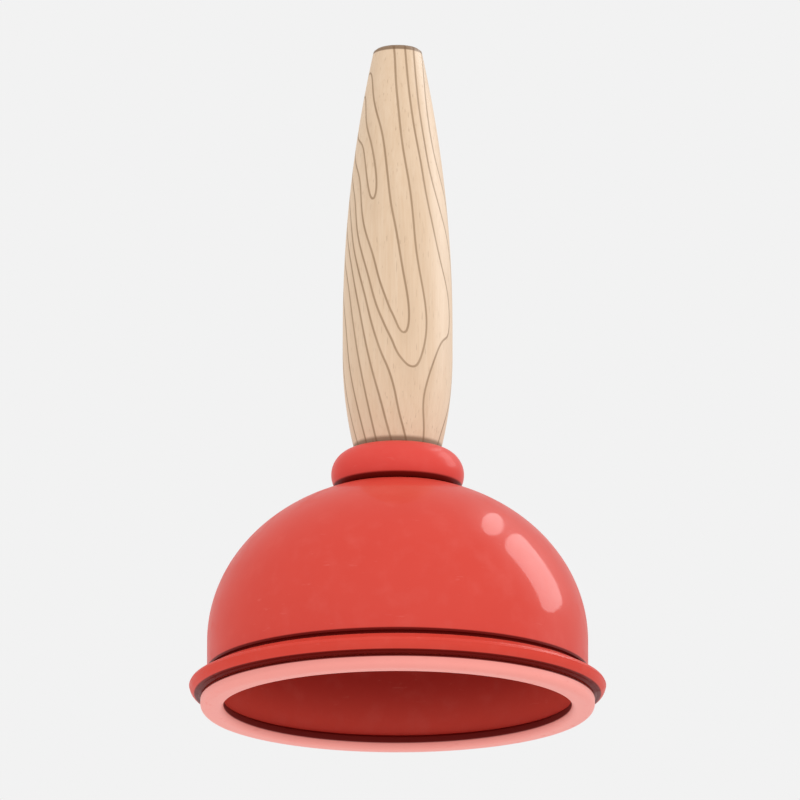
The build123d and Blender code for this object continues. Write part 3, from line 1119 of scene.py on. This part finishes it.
PAPER = (0.888, 0.888, 0.888, 1.0)
SKY_STRENGTH = 0.91
VIEW_ELEVATION = -14.0
VIEW_WIDTH = 0.26988
VIEW_END = 1000.0
LENS = 600.0
SENSOR = 36.0
AIM = Vector((0.0008, 0.0, 0.1075))
TO_CAMERA = Vector((0.0, -cos(radians(VIEW_ELEVATION)), sin(radians(VIEW_ELEVATION))))
CAMERA_RIGHT = Vector((1.0, 0.0, 0.0))
CAMERA_UP = TO_CAMERA.cross(CAMERA_RIGHT)
KEY_PLACE = Vector((0.9, -1.3, 1.1))
KEY_SIZE = 0.9
KEY_POWER = 6.0
# The paths of the lamps' reflections, in millimetres right of and above the origin as the camera
# sees them.
ROUND_LAMP_PATH = [(32.1, 62.5), (32.2, 62.5), (32.3, 62.5)]
BAR_LAMP_PATH = [(39.9, 55.5), (47.6, 45.4), (51.6, 36.6)]
LAMP_HALF_WIDTH = 3.7
LAMP_ROWS = 32
LAMP_COLUMNS = 8
LAMP_REACH = 0.8
LAMP_STRENGTH = 8.0
FLOOR_PAPER = (0.86, 0.86, 0.86, 1.0)
FLOOR_R = 1.5
FLOOR_DROP = 0.0002
FLOOR_SEGMENTS = 64
FLOOR_FADE = (0.35 * FLOOR_R, 0.95 * FLOOR_R)


def placed(name, data):
    """A new object in the scene."""
    thing = bpy.data.objects.new(name, data)
    bpy.context.scene.collection.objects.link(thing)
    return thing


def facing(direction):
    """The turn that points a camera or a lamp in a direction."""
    return direction.to_track_quat("-Z", "Y").to_euler()


def make_camera():
    """A long lens a little below the object, looking up at it."""
    data = bpy.data.cameras.new("camera")
    data.lens = LENS
    data.sensor_width = SENSOR
    data.clip_end = VIEW_END
    camera = placed("camera", data)
    camera.location = AIM + TO_CAMERA * (VIEW_WIDTH * LENS / SENSOR)
    camera.rotation_euler = facing(-TO_CAMERA)
    bpy.context.scene.camera = camera


def make_sky():
    """Pale paper for the camera and in reflections, and an even light for everything else."""
    world = bpy.data.worlds.new("studio")
    world.use_nodes = True
    bpy.context.scene.world = world
    graph = Graph(world.node_tree)
    rays = graph.outputs("ShaderNodeLightPath")
    seen = rays["Is Camera Ray"].at_least(rays["Is Glossy Ray"])
    seen = seen.at_least(rays["Is Transmission Ray"])
    light = graph.node("ShaderNodeBackground", {}, {"Color": WHITE, "Strength": SKY_STRENGTH})
    paper = graph.node("ShaderNodeBackground", {}, {"Color": PAPER, "Strength": 1.0})
    both = graph.node("ShaderNodeMixShader", {}, {0: seen, 1: light, 2: paper})
    graph.node("ShaderNodeOutputWorld", {}, {"Surface": both})


def make_key():
    """One large soft lamp, above and to the right of the front."""
    data = bpy.data.lights.new("key", "AREA")
    data.shape = "DISK"
    data.size = KEY_SIZE
    data.energy = KEY_POWER
    key = placed("key", data)
    key.location = KEY_PLACE
    key.rotation_euler = facing(AIM - KEY_PLACE)
    key.visible_glossy = False
    key.visible_camera = False


def on_dome(right, up):
    """Point and normal of the dome where the camera sees it, right of and above the origin."""
    dome_middle = Vector((0, 0, DOME_Z))
    stretch = Vector((1 / CUP_R, 1 / CUP_R, 1 / DOME_RISE))
    start = CAMERA_RIGHT * right + CAMERA_UP * up - dome_middle
    p, d = start * stretch, TO_CAMERA * stretch
    reach = (-p.dot(d) + sqrt(p.dot(d) ** 2 - d.dot(d) * (p.dot(p) - 1))) / d.dot(d)
    point = start + TO_CAMERA * reach
    normal = (point * stretch * stretch).normalized()
    return (point + dome_middle) * MM, normal


def reflected(right, up):
    """Where a lamp stands to be seen in the dome at that place."""
    point, normal = on_dome(right, up)
    return point + LAMP_REACH * (2 * normal.dot(TO_CAMERA) * normal - TO_CAMERA)


def band_rows(path):
    """Rows of places across a curved band with round ends, along path's three points."""
    first, middle, last = (np.array(p) for p in path)
    control = 2 * middle - (first + last) / 2
    length = np.linalg.norm(last - first)
    half = LAMP_HALF_WIDTH
    for n in range(LAMP_ROWS + 1):
        run = (1 - cos(pi * n / LAMP_ROWS)) / 2 * (length + 2 * half) - half
        t = min(max(run / length, 0), 1)
        spill = run - t * length
        centre = (1 - t) ** 2 * first + 2 * t * (1 - t) * control + t * t * last
        heading = 2 * (1 - t) * (control - first) + 2 * t * (last - control)
        heading = heading / np.linalg.norm(heading)
        side = np.array((-heading[1], heading[0])) * sqrt(max(half**2 - spill**2, 0))
        shares = [2 * m / LAMP_COLUMNS - 1 for m in range(LAMP_COLUMNS + 1)]
        yield [centre + heading * spill + side * share for share in shares]


def strip_lamp(name, path):
    """A lamp whose reflection in the dome is a band with round ends along path's three points."""
    verts = [reflected(*place) for row in band_rows(path) for place in row]
    corners = [
        n * (LAMP_COLUMNS + 1) + m for n in range(LAMP_ROWS) for m in range(LAMP_COLUMNS)
    ]
    faces = [(c, c + 1, c + LAMP_COLUMNS + 2, c + LAMP_COLUMNS + 1) for c in corners]
    mesh = bpy.data.meshes.new(name)
    mesh.from_pydata(verts, [], faces)
    material, graph = finish(name)
    glow = graph.node("ShaderNodeEmission", {}, {"Color": WHITE, "Strength": LAMP_STRENGTH})
    graph.node("ShaderNodeOutputMaterial", {}, {"Surface": glow})
    mesh.materials.append(material)
    lamp = placed(name, mesh)
    lamp.visible_camera = False
    lamp.visible_diffuse = False
    lamp.visible_transmission = False
    lamp.visible_shadow = False


def make_floor():
    """A pale floor seen from above only, which fades into the backdrop and keeps the shadow."""
    mesh = bpy.data.meshes.new("floor")
    shape = bmesh.new()
    bmesh.ops.create_circle(shape, cap_ends=True, segments=FLOOR_SEGMENTS, radius=FLOOR_R)
    bmesh.ops.translate(shape, verts=shape.verts, vec=(0, 0, -FLOOR_DROP))
    shape.to_mesh(mesh)
    shape.free()
    material, graph = finish("floor_paper")
    coordinates = graph.node("ShaderNodeTexCoord", output="Object")
    edge = graph.length(coordinates).rising(*FLOOR_FADE)
    beneath = graph.node("ShaderNodeNewGeometry", output="Backfacing")
    paper = graph.node("ShaderNodeBsdfDiffuse", {}, {"Color": FLOOR_PAPER})
    clear = graph.node("ShaderNodeBsdfTransparent")
    both = graph.node("ShaderNodeMixShader", {}, {0: edge.at_least(beneath), 1: paper, 2: clear})
    graph.node("ShaderNodeOutputMaterial", {}, {"Surface": both})
    mesh.materials.append(material)
    floor = placed("floor", mesh)
    floor.visible_diffuse = False
    floor.visible_glossy = False
    floor.visible_shadow = False


make_camera()
make_sky()
make_key()
strip_lamp("round_lamp", ROUND_LAMP_PATH)
strip_lamp("bar_lamp", BAR_LAMP_PATH)
make_floor()
bpy.context.scene.view_settings.view_transform = "Standard"
